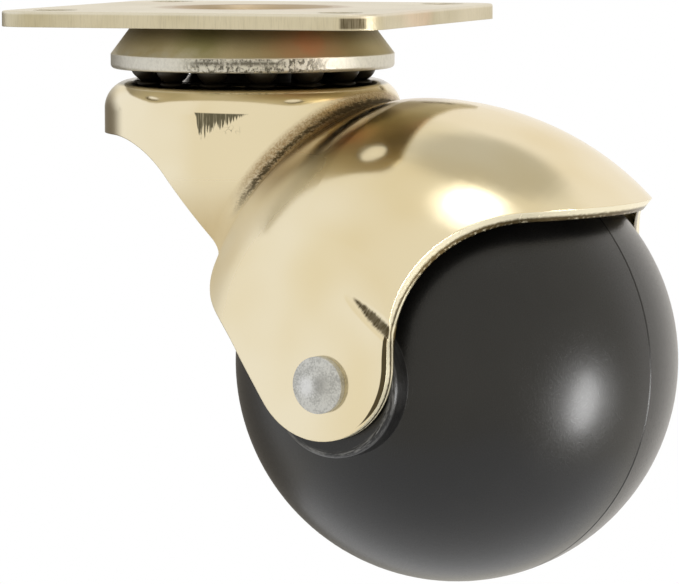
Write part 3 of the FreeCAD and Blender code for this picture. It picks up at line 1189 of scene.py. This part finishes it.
class Wardrobe:
    """Makes each finish once and dresses nodes in it."""

    finishes: dict[Look, Finish] = {
        Look.PLATE: ZincPassivate(),
        Look.RIVET: DullZinc(),
        Look.BEARING: GreasedSteel(),
        Look.HOOD: PolishedBrass(),
        Look.BALL: MouldedRubber(),
    }

    def __init__(self) -> None:
        """Makes the materials."""
        self.materials = {look: finish.material() for look, finish in self.finishes.items()}

    def dress(self, look: Look, *nodes: str) -> None:
        """Gives nodes their finish.

        Args:
            look: Which finish they take.
            nodes: Names of the CAD nodes.
        """
        for node in nodes:
            piece = frame["nodes"][node]
            piece.data.materials.clear()
            piece.data.materials.append(self.materials[look])
            LOG.info("dressed %s in %s", node, look.value)


@dataclass
class SwivelHead:
    """Top plate, race cup, king rivet and the ring of balls."""

    wardrobe: Wardrobe
    plated: tuple[str, ...] = ("mounting_plate", "race_cup")
    riveted: tuple[str, ...] = ("king_rivet", "king_washer")
    ball_prefix: str = "swivel_ball_"

    def dress(self) -> None:
        """Dresses the head's nodes: plate and cup, then the king rivet, then the balls."""
        self.wardrobe.dress(Look.PLATE, *self.plated)
        self.wardrobe.dress(Look.RIVET, *self.riveted)
        balls = [node for node in sorted(frame["nodes"]) if node.startswith(self.ball_prefix)]
        self.wardrobe.dress(Look.BEARING, *balls)


@dataclass
class Fork:
    """Hood with the axle rivet and its sleeve."""

    wardrobe: Wardrobe
    riveted: tuple[str, ...] = ("axle_rivet", "axle_sleeve")

    def dress(self) -> None:
        """Dresses the hood and the axle."""
        self.wardrobe.dress(Look.HOOD, "hood")
        self.wardrobe.dress(Look.RIVET, *self.riveted)


@dataclass
class BallWheel:
    """The rubber ball."""

    wardrobe: Wardrobe

    def dress(self) -> None:
        """Dresses the ball."""
        self.wardrobe.dress(Look.BALL, "ball_wheel")


@dataclass(frozen=True)
class Bearing:
    """A direction seen from the castor: degrees right of the camera, and degrees above the horizon."""

    right_deg: float
    up_deg: float

    def vector(self, towards_camera: Vector) -> Vector:
        """The direction in the part's frame.

        Args:
            towards_camera: Level direction from the castor to the camera.

        Returns:
            A vector of length 1.
        """
        ahead = towards_camera.normalized()
        right = Vector((-ahead.y, ahead.x, 0.0))
        turn, rise = math.radians(self.right_deg), math.radians(self.up_deg)
        level = ahead * math.cos(turn) + right * math.sin(turn)
        return level * math.cos(rise) + Vector((0.0, 0.0, math.sin(rise)))


@dataclass(frozen=True)
class Lamp:
    """One soft box: where it stands, how large it is and its power."""

    name: str
    bearing: Bearing
    distance: float
    size: tuple[float, float]
    watts: float

    def build(self, target: Vector, towards_camera: Vector) -> None:
        """Adds the lamp, facing the target.

        Args:
            target: Point that the lamp faces.
            towards_camera: Level direction from the castor to the camera.
        """
        data = bpy.data.lights.new(self.name, "AREA")
        data.shape = "ELLIPSE"
        data.size, data.size_y = self.size
        data.energy = self.watts
        lamp = bpy.data.objects.new(self.name, data)
        lamp.location = target + self.bearing.vector(towards_camera) * self.distance
        lamp.rotation_euler = (target - lamp.location).to_track_quat("-Z", "Y").to_euler()
        lamp.visible_camera = False
        bpy.context.scene.collection.objects.link(lamp)


@dataclass(frozen=True)
class Panel:
    """A soft-edged stretch of the room's wall or ceiling with a colour of its own."""

    bearing: Bearing
    inner_deg: float
    outer_deg: float
    colour: Colour

    def laid_on(self, shader: Shader, room: Any, direction: Value, towards_camera: Vector) -> Value:
        """The room's colour with this panel laid on it.

        Args:
            shader: The world's tree.
            room: Colour without the panel.
            direction: Direction of the ray.
            towards_camera: Level direction from the castor to the camera.

        Returns:
            The colour with the panel.
        """
        facing = shader.dot(direction, self.bearing.vector(towards_camera))
        outer, inner = math.cos(math.radians(self.outer_deg)), math.cos(math.radians(self.inner_deg))
        return shader.blend(facing.ramp(outer, inner), room, self.colour)


@dataclass
class Studio:
    """White surroundings, soft boxes and the camera at the photograph's angle."""

    eye: Triple = (0.18805, -0.47629, 0.01563)
    aim: Triple = (0.01440, -0.00960, -0.03234)
    roll_deg: float = -0.13
    lens_mm: float = 230.55
    sensor_mm: float = 36.0
    near_clip: float = 0.01
    floor_gap: float = 0.45
    floor_reach: float = 0.6
    matt_light: float = 0.55
    wall: Colour = (0.93, 0.89, 0.79)
    lamps: tuple[Lamp, ...] = (
        Lamp("overhead_box", Bearing(50.0, 78.0), 0.80, (0.22, 0.22), 0.15),
        Lamp("right_box", Bearing(69.0, -15.0), 0.50, (0.13, 0.22), 1.35),
    )
    panels: tuple[Panel, ...] = (
        Panel(Bearing(-95.0, 15.0), 36.0, 58.0, WHITE),
        Panel(Bearing(146.0, 12.0), 38.0, 46.0, (1.02, 0.98, 0.92)),
        Panel(Bearing(150.0, 66.0), 13.0, 22.0, (0.62, 0.60, 0.54)),
        Panel(Bearing(52.0, 78.0), 5.0, 15.0, (2.0, 2.0, 1.95)),
        Panel(Bearing(-150.0, -14.0), 12.0, 34.0, (0.20, 0.18, 0.15)),
    )

    def build(self) -> None:
        """Builds the camera, the floor, the lamps and the world, in that order."""
        self.camera()
        self.floor()
        for lamp in self.lamps:
            lamp.build(self.middle, self.towards_camera)
        self.world()

    @property
    def middle(self) -> Vector:
        """Centre of the ball."""
        low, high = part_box("ball_wheel")
        return (low + high) / 2

    @property
    def towards_camera(self) -> Vector:
        """Level direction from the ball to the camera."""
        way = Vector(self.eye) - self.middle
        return Vector((way.x, way.y, 0.0))

    def camera(self) -> None:
        """Adds the camera, aimed and rolled as the photograph's was."""
        data = bpy.data.cameras.new("photo_camera")
        data.sensor_width = self.sensor_mm
        data.lens = self.lens_mm
        data.clip_start = self.near_clip
        camera = bpy.data.objects.new("photo_camera", data)
        camera.location = self.eye
        look = (Vector(self.aim) - camera.location).to_track_quat("-Z", "Y")
        roll = Quaternion((0.0, 0.0, 1.0), math.radians(self.roll_deg))
        camera.rotation_euler = (look @ roll).to_euler()
        bpy.context.scene.collection.objects.link(camera)
        bpy.context.scene.camera = camera

    def floor(self) -> None:
        """Adds the pale floor, well below the ball."""
        low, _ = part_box("ball_wheel")
        height = low.z - self.floor_gap
        reach = self.floor_reach
        corners = [(sx * reach, sy * reach, height) for sx, sy in ((-1, -1), (1, -1), (1, 1), (-1, 1))]
        mesh = bpy.data.meshes.new("floor")
        mesh.from_pydata(corners, [], [(0, 1, 2, 3)])
        floor = bpy.data.objects.new("floor", mesh)
        bpy.context.scene.collection.objects.link(floor)
        floor.data.materials.append(PaleFloor().material())

    def world(self) -> None:
        """Adds a pale room: white to the camera, with its panels in the metal, softer on matt surfaces."""
        world = bpy.data.worlds.new("white_studio")
        world.use_nodes = True
        bpy.context.scene.world = world
        shader = Shader(world.node_tree)
        path = shader.node("ShaderNodeLightPath", {}, {})
        direction = shader.node("ShaderNodeTexCoord", {}, {}).out("Generated")
        room = self.wall
        for panel in self.panels:
            room = panel.laid_on(shader, room, direction, self.towards_camera)
        glossy = path.out("Is Glossy Ray")
        colour = shader.blend(glossy, WHITE, room)
        clear = path.out("Is Camera Ray").at_least(path.out("Is Transmission Ray")).at_least(glossy)
        level = clear.between(self.matt_light, 1.0)
        sky = shader.node("ShaderNodeBackground", {}, {"Color": colour, "Strength": level})
        shader.node("ShaderNodeOutputWorld", {}, {"Surface": sky})


def main() -> None:
    """Builds the studio and dresses the castor."""
    logging.basicConfig(level=logging.INFO)
    bpy.context.scene.view_settings.view_transform = "Standard"
    wardrobe = Wardrobe()
    for assembly in (SwivelHead(wardrobe), Fork(wardrobe), BallWheel(wardrobe)):
        assembly.dress()
    Studio().build()


if __name__ == "__main__":
    main()
